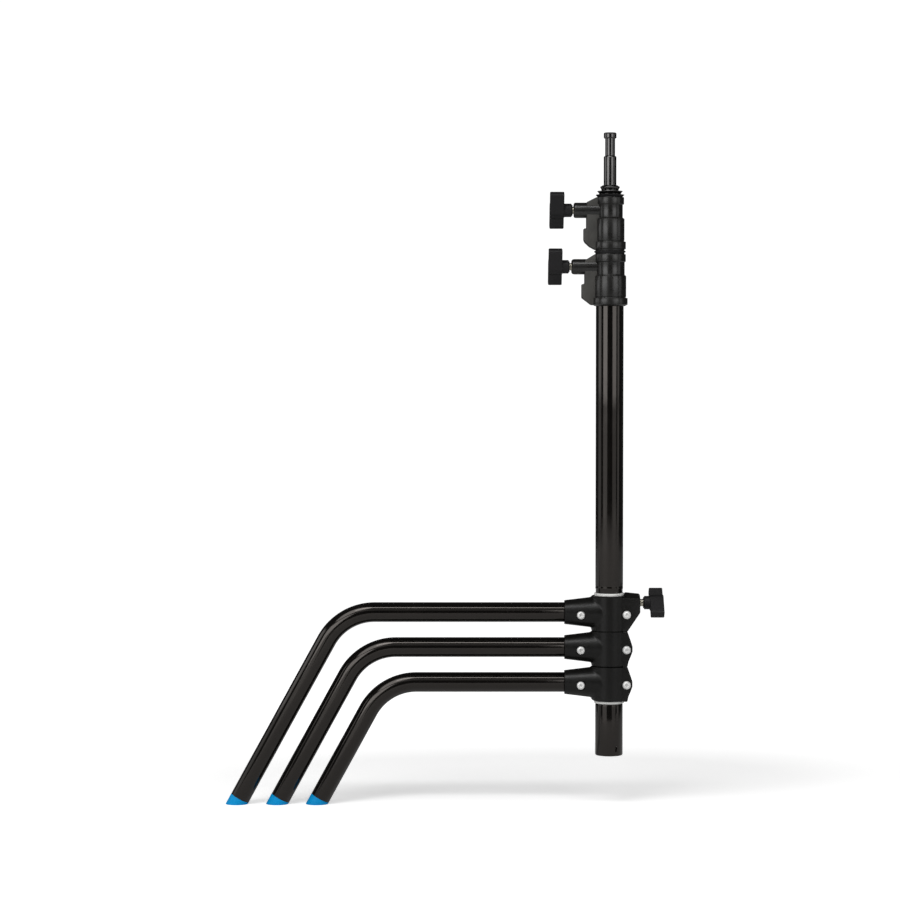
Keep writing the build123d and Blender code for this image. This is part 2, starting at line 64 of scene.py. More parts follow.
world = bpy.data.worlds.new("surround")
bpy.context.scene.world = world
world.use_nodes = True
world.node_tree.nodes.clear()
paths = world.node_tree.nodes.new("ShaderNodeLightPath")
seen = world.node_tree.nodes.new("ShaderNodeBackground")
seen.inputs["Color"].default_value = (1, 1, 1, 1)
seen.inputs["Strength"].default_value = 1.05
felt = world.node_tree.nodes.new("ShaderNodeBackground")
felt.inputs["Color"].default_value = (1, 1, 1, 1)
felt.inputs["Strength"].default_value = 0.05
either = world.node_tree.nodes.new("ShaderNodeMixShader")
surround_out = world.node_tree.nodes.new("ShaderNodeOutputWorld")
world.node_tree.links.new(paths.outputs["Is Camera Ray"], either.inputs[0])
world.node_tree.links.new(felt.outputs[0], either.inputs[1])
world.node_tree.links.new(seen.outputs[0], either.inputs[2])
world.node_tree.links.new(either.outputs[0], surround_out.inputs["Surface"])


def panel(name, bearing, distance, height, width, tall, brightness, aim_height):
    """A soft light panel. bearing is the angle round the stand from the front, to the right."""
    data = bpy.data.lights.new(name, "AREA")
    data.shape = "RECTANGLE"
    data.size = width
    data.size_y = tall
    data.energy = brightness * pi * width * tall
    light = bpy.data.objects.new(name, data)
    bpy.context.collection.objects.link(light)
    turn = radians(bearing)
    light.location = (distance * sin(turn), -distance * cos(turn), height)
    aim = Vector((0, 0, aim_height)) - light.location
    light.rotation_euler = aim.to_track_quat("-Z", "Y").to_euler()
    return light


# Each side has a bright upper panel and a dimmer lower one.
for name, bearing, width, bright_top, bright_low in (
        ("left", -40, 1.45, 3.3, 1.0), ("left_side", -93, 1.25, 1.5, 0.65),
        ("right", 37, 1.35, 2.4, 0.62), ("right_side", 74, 0.7, 1.1, 0.75)):
    panel(name + "_top_panel", bearing, 2.3, 0.97, width, 0.84, bright_top, 0.7)
    panel(name + "_low_panel", bearing, 2.3, 0.26, width, 0.52, bright_low, 0.35)
panel("overhead_panel", 0, 1.4, 2.55, 2.6, 0.42, 5.5, 0.2)
panel("front_high_panel", 0, 2.1, 1.55, 1.8, 0.5, 0.55, 0.25)

sky_data = bpy.data.lights.new("soft_sky", "SUN")
sky_data.energy = 0.9
sky_data.angle = radians(35)
soft_sky = bpy.data.objects.new("soft_sky", sky_data)
bpy.context.collection.objects.link(soft_sky)
soft_sky.rotation_euler = Vector((0.4, 0.55, -0.85)).to_track_quat("-Z", "Y").to_euler()

bpy.ops.object.select_all(action="DESELECT")
bpy.ops.mesh.primitive_plane_add(size=4.2, location=(0, 0, 0))
floor = bpy.context.object
floor.name = "floor"
floor_paint = bpy.data.materials.new("floor_paint")
floor_paint.use_nodes = True
floor_shader = floor_paint.node_tree.nodes["Principled BSDF"]
floor_shader.inputs["Base Color"].default_value = (0.86, 0.86, 0.86, 1)
floor_shader.inputs["Roughness"].default_value = 0.7
floor_shader.inputs["Specular IOR Level"].default_value = 0.1
floor_shader.inputs["Emission Color"].default_value = (1, 1, 1, 1)
# The floor glows for the camera alone, so it looks white but shows dim in reflections. The glow drops from 0.80 to
# 0.47 in an oval centred just behind the stand, wider across than deep. That dip is a painted shadow, which deepens
# the soft shadow the lamps cast there.
floor_paths = floor_paint.node_tree.nodes.new("ShaderNodeLightPath")
floor_glow = floor_paint.node_tree.nodes.new("ShaderNodeMath")
floor_glow.operation = "MULTIPLY"
floor_place = floor_paint.node_tree.nodes.new("ShaderNodeTexCoord")
floor_squeeze = floor_paint.node_tree.nodes.new("ShaderNodeVectorMath")
floor_squeeze.operation = "MULTIPLY"
floor_squeeze.inputs[1].default_value = (0.5, 1, 0)
floor_away = floor_paint.node_tree.nodes.new("ShaderNodeVectorMath")
floor_away.operation = "DISTANCE"
floor_away.inputs[1].default_value = (-0.05, 0.22, 0)
floor_painted_shadow = floor_paint.node_tree.nodes.new("ShaderNodeMapRange")
floor_painted_shadow.inputs["From Min"].default_value = 0.18
floor_painted_shadow.inputs["From Max"].default_value = 0.45
floor_painted_shadow.inputs["To Min"].default_value = 0.47
floor_painted_shadow.inputs["To Max"].default_value = 0.80
floor_paint.node_tree.links.new(floor_place.outputs["Object"], floor_squeeze.inputs[0])
floor_paint.node_tree.links.new(floor_squeeze.outputs["Vector"], floor_away.inputs[0])
floor_paint.node_tree.links.new(floor_away.outputs["Value"], floor_painted_shadow.inputs["Value"])
floor_paint.node_tree.links.new(floor_painted_shadow.outputs["Result"], floor_glow.inputs[1])
floor_paint.node_tree.links.new(floor_paths.outputs["Is Camera Ray"], floor_glow.inputs[0])
floor_paint.node_tree.links.new(floor_glow.outputs[0], floor_shader.inputs["Emission Strength"])
floor.data.materials.append(floor_paint)


# ------------------------------------------------------------------ base tube
# A steel tube, necked above a rounded shoulder to carry the hubs, and painted gloss black.
# The paint is smooth, with faint smudges from handling and thin wear on its edges.
def add(tree, kind, **values):
    """A shader node with its input values set by name."""
    node = tree.nodes.new("ShaderNode" + kind)
    for label, value in values.items():
        node.inputs[label.replace("_", " ")].default_value = value
    return node


def new_group(name, sockets_in, sockets_out):
    """A shader node group with named inputs and outputs, and its two end nodes."""
    tree = bpy.data.node_groups.new(name, "ShaderNodeTree")
    for label, kind, value in sockets_in:
        socket = tree.interface.new_socket(label, in_out="INPUT", socket_type="NodeSocket" + kind)
        if value is not None:
            socket.default_value = value
    for label in sockets_out:
        tree.interface.new_socket(label, in_out="OUTPUT", socket_type="NodeSocketFloat")
    return tree, tree.nodes.new("NodeGroupInput"), tree.nodes.new("NodeGroupOutput")


def make_surface_grain():
    """The fine orange peel or sand of a coat, and slow changes of tone across it."""
    sizes = [("Coordinates", "Vector", None), ("Grain Size", "Float", 900.0), ("Tone Size", "Float", 30.0)]
    tree, given, result = new_group("Surface grain", sizes, ["Height", "Tone"])
    fine = add(tree, "TexNoise", Detail=3.0, Roughness=0.6)
    slow = add(tree, "TexNoise", Detail=5.0, Roughness=0.55)
    link = tree.links.new
    link(given.outputs["Coordinates"], fine.inputs["Vector"])
    link(given.outputs["Coordinates"], slow.inputs["Vector"])
    link(given.outputs["Grain Size"], fine.inputs["Scale"])
    link(given.outputs["Tone Size"], slow.inputs["Scale"])
    spread = add(tree, "MapRange", From_Min=0.35, From_Max=0.65)
    link(slow.outputs["Fac"], spread.inputs["Value"])
    link(fine.outputs["Fac"], result.inputs["Height"])
    link(spread.outputs["Result"], result.inputs["Tone"])
    return tree


def make_rubbed_edge():
    """Where a coat is rubbed thin: along outside edges, in broken patches."""
    sizes = [("Coordinates", "Vector", None), ("Reach", "Float", 0.5), ("Patch Size", "Float", 160.0)]
    tree, given, result = new_group("Rubbed edge", sizes, ["Mask"])
    shape = add(tree, "NewGeometry")
    patches = add(tree, "TexNoise", Detail=6.0, Roughness=0.7)
    link = tree.links.new
    link(given.outputs["Coordinates"], patches.inputs["Vector"])
    link(given.outputs["Patch Size"], patches.inputs["Scale"])
    edge = add(tree, "MapRange", From_Min=0.53, From_Max=0.62)
    link(shape.outputs["Pointiness"], edge.inputs["Value"])
    broken = add(tree, "MapRange", From_Min=0.5, From_Max=0.62)
    link(patches.outputs["Fac"], broken.inputs["Value"])
    both = add(tree, "Math")
    both.operation = "MULTIPLY"
    link(edge.outputs["Result"], both.inputs[0])
    link(broken.outputs["Result"], both.inputs[1])
    limited = add(tree, "Math")
    limited.operation = "MULTIPLY"
    link(both.outputs[0], limited.inputs[0])
    link(given.outputs["Reach"], limited.inputs[1])
    link(limited.outputs[0], result.inputs["Mask"])
    return tree


def make_handling_marks():
    """Smudges of hands and fine dust, as a mask for roughness and a pale speckle."""
    sizes = [("Coordinates", "Vector", None), ("Smudge Size", "Float", 45.0), ("Speckle", "Float", 0.3)]
    tree, given, result = new_group("Handling marks", sizes, ["Smudge", "Dust"])
    smudges = add(tree, "TexNoise", Detail=4.0, Roughness=0.65, Distortion=0.6)
    specks = add(tree, "TexVoronoi", Scale=700.0)
    link = tree.links.new
    link(given.outputs["Coordinates"], smudges.inputs["Vector"])
    link(given.outputs["Smudge Size"], smudges.inputs["Scale"])
    link(given.outputs["Coordinates"], specks.inputs["Vector"])
    smudge = add(tree, "MapRange", From_Min=0.38, From_Max=0.66)
    link(smudges.outputs["Fac"], smudge.inputs["Value"])
    point = add(tree, "MapRange", From_Min=0.09, From_Max=0.03)
    link(specks.outputs["Distance"], point.inputs["Value"])
    dust = add(tree, "Math")
    dust.operation = "MULTIPLY"
    link(point.outputs["Result"], dust.inputs[0])
    link(given.outputs["Speckle"], dust.inputs[1])
    link(smudge.outputs["Result"], result.inputs["Smudge"])
    link(dust.outputs[0], result.inputs["Dust"])
    return tree


surface_grain = make_surface_grain()
rubbed_edge = make_rubbed_edge()
handling_marks = make_handling_marks()


def finish_of(name, colour, shade, worn, rough, smooth, grain, depth, reach, metal=0.0, speckle=0.1):
    """A real finish: two close tones, worn edges, smudged gloss and a grain in relief."""
    paint = bpy.data.materials.new(name)
    paint.use_nodes = True
    tree = paint.node_tree
    link = tree.links.new
    shader = tree.nodes["Principled BSDF"]
    shader.inputs["Metallic"].default_value = metal
    place = add(tree, "TexCoord")

    def group(source):
        node = tree.nodes.new("ShaderNodeGroup")
        node.node_tree = source
        link(place.outputs["Object"], node.inputs["Coordinates"])
        return node

    skin = group(surface_grain)
    skin.inputs["Grain Size"].default_value = grain
    edge = group(rubbed_edge)
    edge.inputs["Reach"].default_value = reach
    marks = group(handling_marks)
    marks.inputs["Speckle"].default_value = speckle
    tones = add(tree, "MixRGB", Color1=(*colour, 1), Color2=(*shade, 1))
    rubbed = add(tree, "MixRGB", Color2=(*worn, 1))
    dusted = add(tree, "MixRGB", Color2=(0.32, 0.31, 0.30, 1))
    link(skin.outputs["Tone"], tones.inputs["Fac"])
    link(tones.outputs[0], rubbed.inputs["Color1"])
    link(edge.outputs["Mask"], rubbed.inputs["Fac"])
    link(rubbed.outputs[0], dusted.inputs["Color1"])
    link(marks.outputs["Dust"], dusted.inputs["Fac"])
    link(dusted.outputs[0], shader.inputs["Base Color"])
    gloss = add(tree, "MapRange", To_Min=smooth, To_Max=rough)
    link(marks.outputs["Smudge"], gloss.inputs["Value"])
    link(gloss.outputs["Result"], shader.inputs["Roughness"])
    relief = add(tree, "Bump", Strength=0.6, Distance=depth * mm)
    link(skin.outputs["Height"], relief.inputs["Height"])
    link(relief.outputs["Normal"], shader.inputs["Normal"])
    return paint


gloss_black = finish_of(
    "gloss_black", (0.0032, 0.0028, 0.0024), (0.0020, 0.0018, 0.0017), (0.03, 0.027, 0.024),
    rough=0.15, smooth=0.08, grain=520, depth=0.004, reach=0.5)
gloss_black.node_tree.nodes["Principled BSDF"].inputs["Specular Tint"].default_value = (1.0, 0.92, 0.86, 1)


def turned(name, foot_z, rings, steps=96):
    """A turned piece on the riser axis. rings are (radius, height over foot_z), in millimetres."""
    bpy.ops.object.select_all(action="DESELECT")
    radius, height = rings[0]
    bpy.ops.mesh.primitive_circle_add(vertices=steps, radius=radius * mm, location=(0, 0, foot_z + height * mm))
    piece = bpy.context.object
    piece.name = name
    bpy.ops.object.mode_set(mode="EDIT")
    bpy.ops.mesh.select_mode(type="VERT")
    bpy.ops.mesh.select_all(action="SELECT")
    for next_radius, next_height in rings[1:]:
        bpy.ops.mesh.extrude_region_move(TRANSFORM_OT_translate={"value": (0, 0, (next_height - height) * mm)})
        grow = next_radius / radius
        bpy.ops.transform.resize(value=(grow, grow, 1), center_override=(0, 0, 0))
        radius, height = next_radius, next_height
    bpy.ops.mesh.select_all(action="SELECT")
    bpy.ops.mesh.remove_doubles(threshold=1e-6)
    bpy.ops.mesh.fill_holes(sides=0)
    bpy.ops.mesh.select_all(action="SELECT")
    bpy.ops.mesh.normals_make_consistent(inside=False)
    bpy.ops.object.mode_set(mode="OBJECT")
    bpy.ops.object.transform_apply(location=True, rotation=True, scale=True)
    return piece


def soften(piece, width, turn=30, segments=2):
    """Rounds a piece's sharp edges and shades it smooth."""
    bpy.ops.object.select_all(action="DESELECT")
    piece.select_set(True)
    bpy.context.view_layer.objects.active = piece
    bevel = piece.modifiers.new("soft edges", "BEVEL")
    bevel.width = width * mm
    bevel.segments = segments
    bevel.limit_method = "ANGLE"
    bevel.angle_limit = radians(turn)
    bpy.ops.object.modifier_apply(modifier=bevel.name)
    bpy.ops.object.shade_smooth_by_angle(angle=radians(turn))


def cylinder(start, end, radius, steps=64):
    """A round bar between two points, in metres, used as a rough shape or as a drill."""
    start = Vector(start)
    along = Vector(end) - start
    bpy.ops.object.select_all(action="DESELECT")
    bpy.ops.mesh.primitive_cylinder_add(
        vertices=steps, radius=radius * mm, depth=along.length, location=start + along / 2,
        rotation=along.to_track_quat("Z", "Y").to_euler())
    bpy.ops.object.transform_apply(location=True, rotation=True, scale=True)
    return bpy.context.object


def combine(piece, tool, operation):
    """Adds, cuts or keeps what a tool covers, and takes the tool away."""
    bpy.ops.object.select_all(action="DESELECT")
    piece.select_set(True)
    bpy.context.view_layer.objects.active = piece
    boolean = piece.modifiers.new("work", "BOOLEAN")
    boolean.object = tool
    boolean.operation = operation
    boolean.solver = "EXACT"
    bpy.ops.object.modifier_apply(modifier=boolean.name)
    bpy.data.objects.remove(tool)


base_low, base_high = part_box("base_tube")
shoulder = (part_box("lower_washer")[0].z - base_low.z) / mm
neck_top = (base_high.z - base_low.z) / mm
neck_radius = 16.0
bore_radius = 14.3
pin_hole_height = 10.6
base_tube = turned("base_tube_turned", base_low.z, [
    (bore_radius, 0.8), (bore_radius + 0.6, 0), (16.8, 0), (17.5, 0.7), (17.5, shoulder - 2.6),
    (17.2, shoulder - 1.2), (16.5, shoulder - 0.3), (neck_radius + 0.1, shoulder), (neck_radius, shoulder + 0.1),
    (neck_radius, neck_top - 0.5), (neck_radius - 0.5, neck_top), (bore_radius, neck_top), (bore_radius, 0.8)])
hole_z = base_low.z + pin_hole_height * mm
hole_reach = Matrix.Rotation(radians(28), 3, "Z") @ Vector((0, 0.03, 0))
across = Vector((0, 0, hole_z))
combine(base_tube, cylinder(across - hole_reach, across + hole_reach, 2.0, 32), "DIFFERENCE")
lock_z = sum(corner.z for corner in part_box("base_lock_stud")) / 2
combine(base_tube, cylinder((0, 0, lock_z), (0.03, 0, lock_z), 4.1, 32), "DIFFERENCE")
soften(base_tube, 0.15)
base_tube.data.materials.append(gloss_black)
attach(base_tube, "base")
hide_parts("base_tube")


# ------------------------------------------------------------------ nylon washers and bushes
# White nylon rings: one under the hubs, one that the column turns on, and the sleeves in the hubs.
# They are turned from rod, slightly waxy, with grey dirt from use.
white_nylon = finish_of(
    "white_nylon", (0.80, 0.80, 0.78), (0.68, 0.68, 0.66), (0.55, 0.55, 0.53),
    rough=0.55, smooth=0.38, grain=300, depth=0.02, reach=0.4, speckle=0.2)
for node, body, hole in (("lower_washer", "base", 16.03), ("column_washer", "column_seat", 16.05)):
    low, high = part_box(node)
    tall = (high.z - low.z) / mm
    washer = turned(node + "_turned", low.z, [(hole, 0), (high.x / mm, 0), (high.x / mm, tall), (hole, tall), (hole, 0)])
    soften(washer, 0.35, segments=3)
    washer.data.materials.append(white_nylon)
    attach(washer, body)
    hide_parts(node)
for node in ("low_hub_bush", "mid_hub_bush", "riser_2_guide", "riser_3_guide"):
    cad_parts[node].data.materials.clear()
    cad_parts[node].data.materials.append(white_nylon)


# ------------------------------------------------------------------ leg hubs
# Three aluminium castings stacked on the neck: a barrel, a tapered socket for the leg and an ear
# with a pinch bolt. The top one's ear grows into the boss of the base lock. Satin black coat.
satin_casting = finish_of(
    "satin_casting", (0.0060, 0.0058, 0.0053), (0.0040, 0.0039, 0.0036), (0.05, 0.048, 0.045),
    rough=0.38, smooth=0.28, grain=1100, depth=0.05, reach=0.45)
satin_casting.node_tree.nodes["Principled BSDF"].inputs["Specular IOR Level"].default_value = 0.24
hub_radius = 22.6
socket_root_x = -14.0
socket_root_radius = 20.4
socket_end_radius = 15.25
leg_axis_over_middle = 1.1
ear_half = 17.0
leg_bolt_x = -36.5
leg_bolt_under = 1.5
leg_bolt_seat = 14.8
pinch_bolt_x = 21.4
pinch_bolt_under = 1.0
counterbore_radius = 6.2


def melt(pieces, voxel, rounds):
    """Joins rough shapes that overlap and melts them into one moulding with soft inside corners."""
    bpy.ops.object.select_all(action="DESELECT")
    for piece in pieces:
        piece.select_set(True)
    bpy.context.view_layer.objects.active = pieces[0]
    bpy.ops.object.join()
    body = bpy.context.object
    body.data.remesh_voxel_size = voxel * mm
    bpy.ops.object.voxel_remesh()
    relax = body.modifiers.new("relax", "SMOOTH")
    relax.factor = 0.5
    relax.iterations = rounds
    bpy.ops.object.modifier_apply(modifier=relax.name)
    return body


def plate(outline, half):
    """A plate across Y. outline is a list of (x, z) points in metres, half its half thickness."""
    bpy.ops.object.select_all(action="DESELECT")
    bpy.ops.mesh.primitive_circle_add(vertices=len(outline), radius=0.01, fill_type="NGON")
    piece = bpy.context.object
    for vertex, (x, z) in zip(piece.data.vertices, outline):
        vertex.co = (x, -half * mm, z)
    bpy.ops.object.mode_set(mode="EDIT")
    bpy.ops.mesh.select_all(action="SELECT")
    bpy.ops.mesh.extrude_region_move(TRANSFORM_OT_translate={"value": (0, 2 * half * mm, 0)})
    bpy.ops.mesh.select_all(action="SELECT")
    bpy.ops.mesh.normals_make_consistent(inside=False)
    bpy.ops.object.mode_set(mode="OBJECT")
    return piece


def slice_off(piece, point, direction):
    """Cuts away what lies beyond a plane, on the side that direction points to, and closes the cut."""
    bpy.ops.object.select_all(action="DESELECT")
    piece.select_set(True)
    bpy.context.view_layer.objects.active = piece
    bpy.ops.object.mode_set(mode="EDIT")
    bpy.ops.mesh.select_all(action="SELECT")
    bpy.ops.mesh.bisect(plane_co=point, plane_no=direction, use_fill=True, clear_outer=True, threshold=1e-6)
    bpy.ops.object.mode_set(mode="OBJECT")


def pinch_ear(low_z, high_z):
    middle = (low_z + high_z) / 2
    outline = [(10, low_z - middle), (22.4, low_z - middle), (23.8, -15.7 * mm), (26.5, -9.4 * mm),
               (28.8, -3.0 * mm), (28.8, 3.3 * mm), (26.8, 9.6 * mm), (22.4, high_z - middle), (10, high_z - middle)]
    return plate([(x * mm, middle + z) for x, z in outline], ear_half)


def lock_ear(low_z, end_x):
    outline = [(10, 0), (22.4, 0), (end_x / mm, 24.0), (end_x / mm, 46.4), (20, 48.8), (10, 48.8)]
    ear = plate([(x * mm, low_z + z * mm) for x, z in outline], ear_half)
    slope = Vector((0, 6.8, ear_half)).normalized()
    for side in (-1, 1):
        slice_off(ear, (0, 0, low_z + 48.8 * mm), (0, side * slope.y, slope.z))
    return ear


for name, body in (("low", "low_leg"), ("mid", "mid_leg"), ("top", "base")):
    node = name + "_leg_hub"
    low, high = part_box(node)
    low_z = low.z
    high_z = low_z + 44.5 * mm
    middle = (low_z + high_z) / 2
    axis_z = middle + leg_axis_over_middle * mm
    barrel = cylinder((0, 0, low_z - (0 if name == "low" else 0.008)), (0, 0, high_z + 0.008), hub_radius, 96)
    if name == "low":
        soften(barrel, 2.0, segments=4)
    bpy.ops.object.select_all(action="DESELECT")
    root = Vector((socket_root_x * mm, 0, axis_z))
    end = Vector((low.x - 0.008, 0, axis_z))
    taper = (socket_root_radius - socket_end_radius) / ((root.x - low.x) / mm)
    bpy.ops.mesh.primitive_cone_add(
        vertices=96, radius1=socket_root_radius * mm, radius2=(socket_end_radius - taper * 8) * mm,
        depth=(root - end).length, location=(root + end) / 2, rotation=(0, radians(-90), 0))
    bpy.ops.object.transform_apply(location=True, rotation=True, scale=True)
    cone = bpy.context.object
    lean = atan(taper)
    ball_radius = socket_root_radius / cos(lean)
    bpy.ops.object.select_all(action="DESELECT")
    bpy.ops.mesh.primitive_uv_sphere_add(
        segments=64, ring_count=32, radius=ball_radius * mm,
        location=((socket_root_x + ball_radius * sin(lean)) * mm, 0, axis_z))
    bpy.ops.object.transform_apply(location=True, rotation=True, scale=True)
    hub = melt([barrel, cone, bpy.context.object], 0.8, 34)
    hub.name = node + "_cast"
    slice_off(hub, (low.x, 0, 0), (-1, 0, 0))
    slice_off(hub, (0, 0, high_z), (0, 0, 1))
    slice_off(hub, (0, 0, low_z), (0, 0, -1))
    ear = lock_ear(low_z, high.x) if name == "top" else pinch_ear(low_z, high_z)
    soften(ear, 0.9, segments=3)
    combine(hub, ear, "UNION")
    bore = neck_radius + 0.03 if name == "top" else neck_radius + 1.5
    combine(hub, cylinder((0, 0, low_z - 0.01), (0, 0, high_z + 0.01), bore, 96), "DIFFERENCE")
    if name == "top":
        seat = cylinder((0, 0, high_z), (0, 0, high_z + 0.02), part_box("column_washer")[1].x / mm + 1, 96)
        combine(hub, seat, "DIFFERENCE")
        combine(hub, cylinder((0.01, 0, lock_z), (0.06, 0, lock_z), 5.05, 48), "DIFFERENCE")
    combine(hub, cylinder((low.x - 0.01, 0, axis_z), (-0.0245, 0, axis_z), 12.53, 96), "DIFFERENCE")
    for x, z, seat in ((leg_bolt_x, middle - leg_bolt_under * mm, leg_bolt_seat),
                       (pinch_bolt_x, middle - pinch_bolt_under * mm, ear_half)):
        x = x * mm
        combine(hub, cylinder((x, -0.04, z), (x, 0.04, z), 3.03, 32), "DIFFERENCE")
        for side in (-1, 1):
            drill = cylinder((x, side * 0.04, z), (x, side * seat * mm, z), counterbore_radius, 64)
            combine(hub, drill, "DIFFERENCE")
    slit_top = lock_z - 0.008 if name == "top" else high_z + 0.001
    bpy.ops.object.select_all(action="DESELECT")
    bpy.ops.mesh.primitive_cube_add(size=1, location=(0.04, 0, (low_z - 0.001 + slit_top) / 2))
    bpy.context.object.scale = (0.06, 0.002, slit_top - low_z + 0.001)
    bpy.ops.object.transform_apply(location=True, rotation=True, scale=True)
    combine(hub, bpy.context.object, "DIFFERENCE")
    for seam_z in (low_z, high_z):
        groove = turned("groove", seam_z, [
            (hub_radius - 0.8, 0), (hub_radius + 1, -1.8), (hub_radius + 1, 1.8), (hub_radius - 0.8, 0)])
        combine(hub, groove, "DIFFERENCE")
    bpy.ops.object.select_all(action="DESELECT")
    hub.select_set(True)
    bpy.context.view_layer.objects.active = hub
    bpy.ops.object.shade_smooth_by_angle(angle=radians(32))
    hub.data.materials.clear()
    hub.data.materials.append(satin_casting)
    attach(hub, body)
    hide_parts(node)


# ------------------------------------------------------------------ legs and feet
# Each leg is a 25 mm steel tube with one long bend, painted gloss black. Its open end is closed by
# a blue plastic wedge with a plug in the tube and a flat sole with a shallow groove.
leg_radius = 12.5
leg_wall = 2.0
leg_slope = radians(61.2)
bend_radius = 0.070
foot_toe = 2.0 * mm
blue_foot = finish_of(
    "blue_foot", (0.0012, 0.290, 0.640), (0.0010, 0.240, 0.540), (0.02, 0.36, 0.66),
    rough=0.62, smooth=0.45, grain=800, depth=0.04, reach=0.5)
blue_foot.node_tree.nodes["Principled BSDF"].inputs["Specular IOR Level"].default_value = 0.12
down_slope = Vector((-cos(leg_slope), 0, -sin(leg_slope)))


def ring_across(point, direction, radius, steps):
    """A ring of edges across a direction, ready to be extruded in edit mode."""
    bpy.ops.object.select_all(action="DESELECT")
    turn = Vector(direction).to_track_quat("Z", "Y").to_euler()
    bpy.ops.mesh.primitive_circle_add(vertices=steps, radius=radius * mm, location=point, rotation=turn)
    bpy.ops.object.transform_apply(location=True, rotation=True, scale=True)
    bpy.ops.object.mode_set(mode="EDIT")
    bpy.ops.mesh.select_mode(type="VERT")
    bpy.ops.mesh.select_all(action="SELECT")
    return bpy.context.object


def pick(piece, kind, wanted):
    """Opens a piece in edit mode with only the wanted faces or edges selected."""
    bpy.ops.object.select_all(action="DESELECT")
    piece.select_set(True)
    bpy.context.view_layer.objects.active = piece
    bpy.ops.object.mode_set(mode="EDIT")
    bpy.ops.mesh.select_mode(type=kind)
    bpy.ops.mesh.select_all(action="DESELECT")
    bpy.ops.object.mode_set(mode="OBJECT")
    for element in piece.data.polygons if kind == "FACE" else piece.data.edges:
        element.select = wanted(element)
    bpy.ops.object.mode_set(mode="EDIT")


for name, body in (("low", "low_leg"), ("mid", "mid_leg"), ("top", "base")):
    low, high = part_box(name + "_leg")
    axis_z = high.z - leg_radius * mm
    foot_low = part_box(name + "_leg_foot")[0]
    foot_x = foot_low.x + leg_radius * mm / sin(leg_slope)
    corner_x = foot_x + axis_z / tan(leg_slope)
    end_z = leg_radius * mm * cos(leg_slope) + foot_toe * sin(leg_slope)
    end = Vector((foot_x + end_z / tan(leg_slope), 0, end_z))
    bend_x = corner_x + bend_radius * tan(leg_slope / 2)
    leg = ring_across((high.x, 0, axis_z), (-1, 0, 0), leg_radius, 64)
    leg.name = name + "_leg_tube"
    bpy.ops.mesh.extrude_region_move(TRANSFORM_OT_translate={"value": (bend_x - high.x, 0, 0)})
    bpy.ops.mesh.spin(steps=28, angle=-leg_slope, center=(bend_x, 0, axis_z - bend_radius), axis=(0, -1, 0))
    bend_end = Vector((bend_x - bend_radius * sin(leg_slope), 0, axis_z - bend_radius * (1 - cos(leg_slope))))
    bpy.ops.mesh.extrude_region_move(TRANSFORM_OT_translate={"value": end - bend_end})
    bpy.ops.mesh.select_all(action="SELECT")
    bpy.ops.mesh.remove_doubles(threshold=1e-6)
    bpy.ops.mesh.normals_make_consistent(inside=False)
    bpy.ops.object.mode_set(mode="OBJECT")
    wall = leg.modifiers.new("wall", "SOLIDIFY")
    wall.thickness = leg_wall * mm
    wall.offset = -1
    bpy.ops.object.modifier_apply(modifier=wall.name)
    soften(leg, 0.25, turn=60)
    leg.data.materials.append(gloss_black)
    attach(leg, body)
    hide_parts(name + "_leg")

    foot = ring_across(end - down_slope * 0.020, down_slope, leg_radius - leg_wall - 0.05, 64)
    foot.name = name + "_foot_wedge"
    bpy.ops.mesh.edge_face_add()
    bpy.ops.mesh.extrude_region_move(TRANSFORM_OT_translate={"value": down_slope * 0.020})
    grow = leg_radius / (leg_radius - leg_wall - 0.05)
    bpy.ops.mesh.extrude_region_move(TRANSFORM_OT_translate={"value": (0, 0, 0)})
    bpy.ops.transform.resize(value=(grow, grow, grow), center_override=end)
    bpy.ops.mesh.extrude_region_move(TRANSFORM_OT_translate={"value": down_slope * 0.030})
    bpy.ops.mesh.select_all(action="SELECT")
    bpy.ops.mesh.normals_make_consistent(inside=False)
    bpy.ops.object.mode_set(mode="OBJECT")
    slice_off(foot, (0, 0, 0), (0, 0, -1))
    pick(foot, "FACE", lambda face: face.normal.z < -0.99)
    bpy.ops.mesh.inset(thickness=1.8 * mm)
    bpy.ops.mesh.extrude_region_move(TRANSFORM_OT_translate={"value": (0, 0, 0.7 * mm)})
    bpy.ops.object.mode_set(mode="OBJECT")
    soften(foot, 0.4, segments=3)
    foot.data.materials.append(blue_foot)
    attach(foot, body)
    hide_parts(name + "_leg_foot")


# ------------------------------------------------------------------ hub bolts and nuts
# Bright plated button-head bolts with a hex socket. One crosses each leg and one pinches each ear,
# and each has a chamfered hex nut at the back.
bright_steel = finish_of(
    "bright_steel", (0.82, 0.82, 0.81), (0.72, 0.72, 0.71), (0.88, 0.88, 0.87),
    rough=0.45, smooth=0.34, grain=2500, depth=0.01, reach=0.2, metal=0.35, speckle=0.05)
nut_tall = 5.0


def button_bolt(length):
    """A bolt on the Z axis with its head above z = 0."""
    bolt = turned("bolt", 0, [(2.4, -length), (3.0, -length + 0.6), (3.0, 0), (5.3, 0), (5.3, 0.7), (5.05, 1.5),
                              (4.5, 2.3), (3.7, 2.95), (2.9, 3.3)], 48)
    socket = cylinder((0, 0, 0.0013), (0, 0, 0.006), 2.31, 6)
    socket.data.transform(Matrix.Rotation(radians(30), 4, "Z"))
    combine(bolt, socket, "DIFFERENCE")
    soften(bolt, 0.12)
    return bolt


def hex_nut():
    """A nut on the Z axis, from z = 0 up, with both faces chamfered."""
    nut = cylinder((0, 0, 0), (0, 0, nut_tall * mm), 5.774, 6)
    nut.data.transform(Matrix.Rotation(radians(30), 4, "Z"))
    rim = turned("rim", 0, [(5.0, 0), (5.8, 0.7), (5.8, nut_tall - 0.7), (5.0, nut_tall)], 48)
    combine(nut, rim, "INTERSECT")
    combine(nut, cylinder((0, 0, -0.01), (0, 0, 0.01), 3.02, 32), "DIFFERENCE")
    soften(nut, 0.1)
    return nut


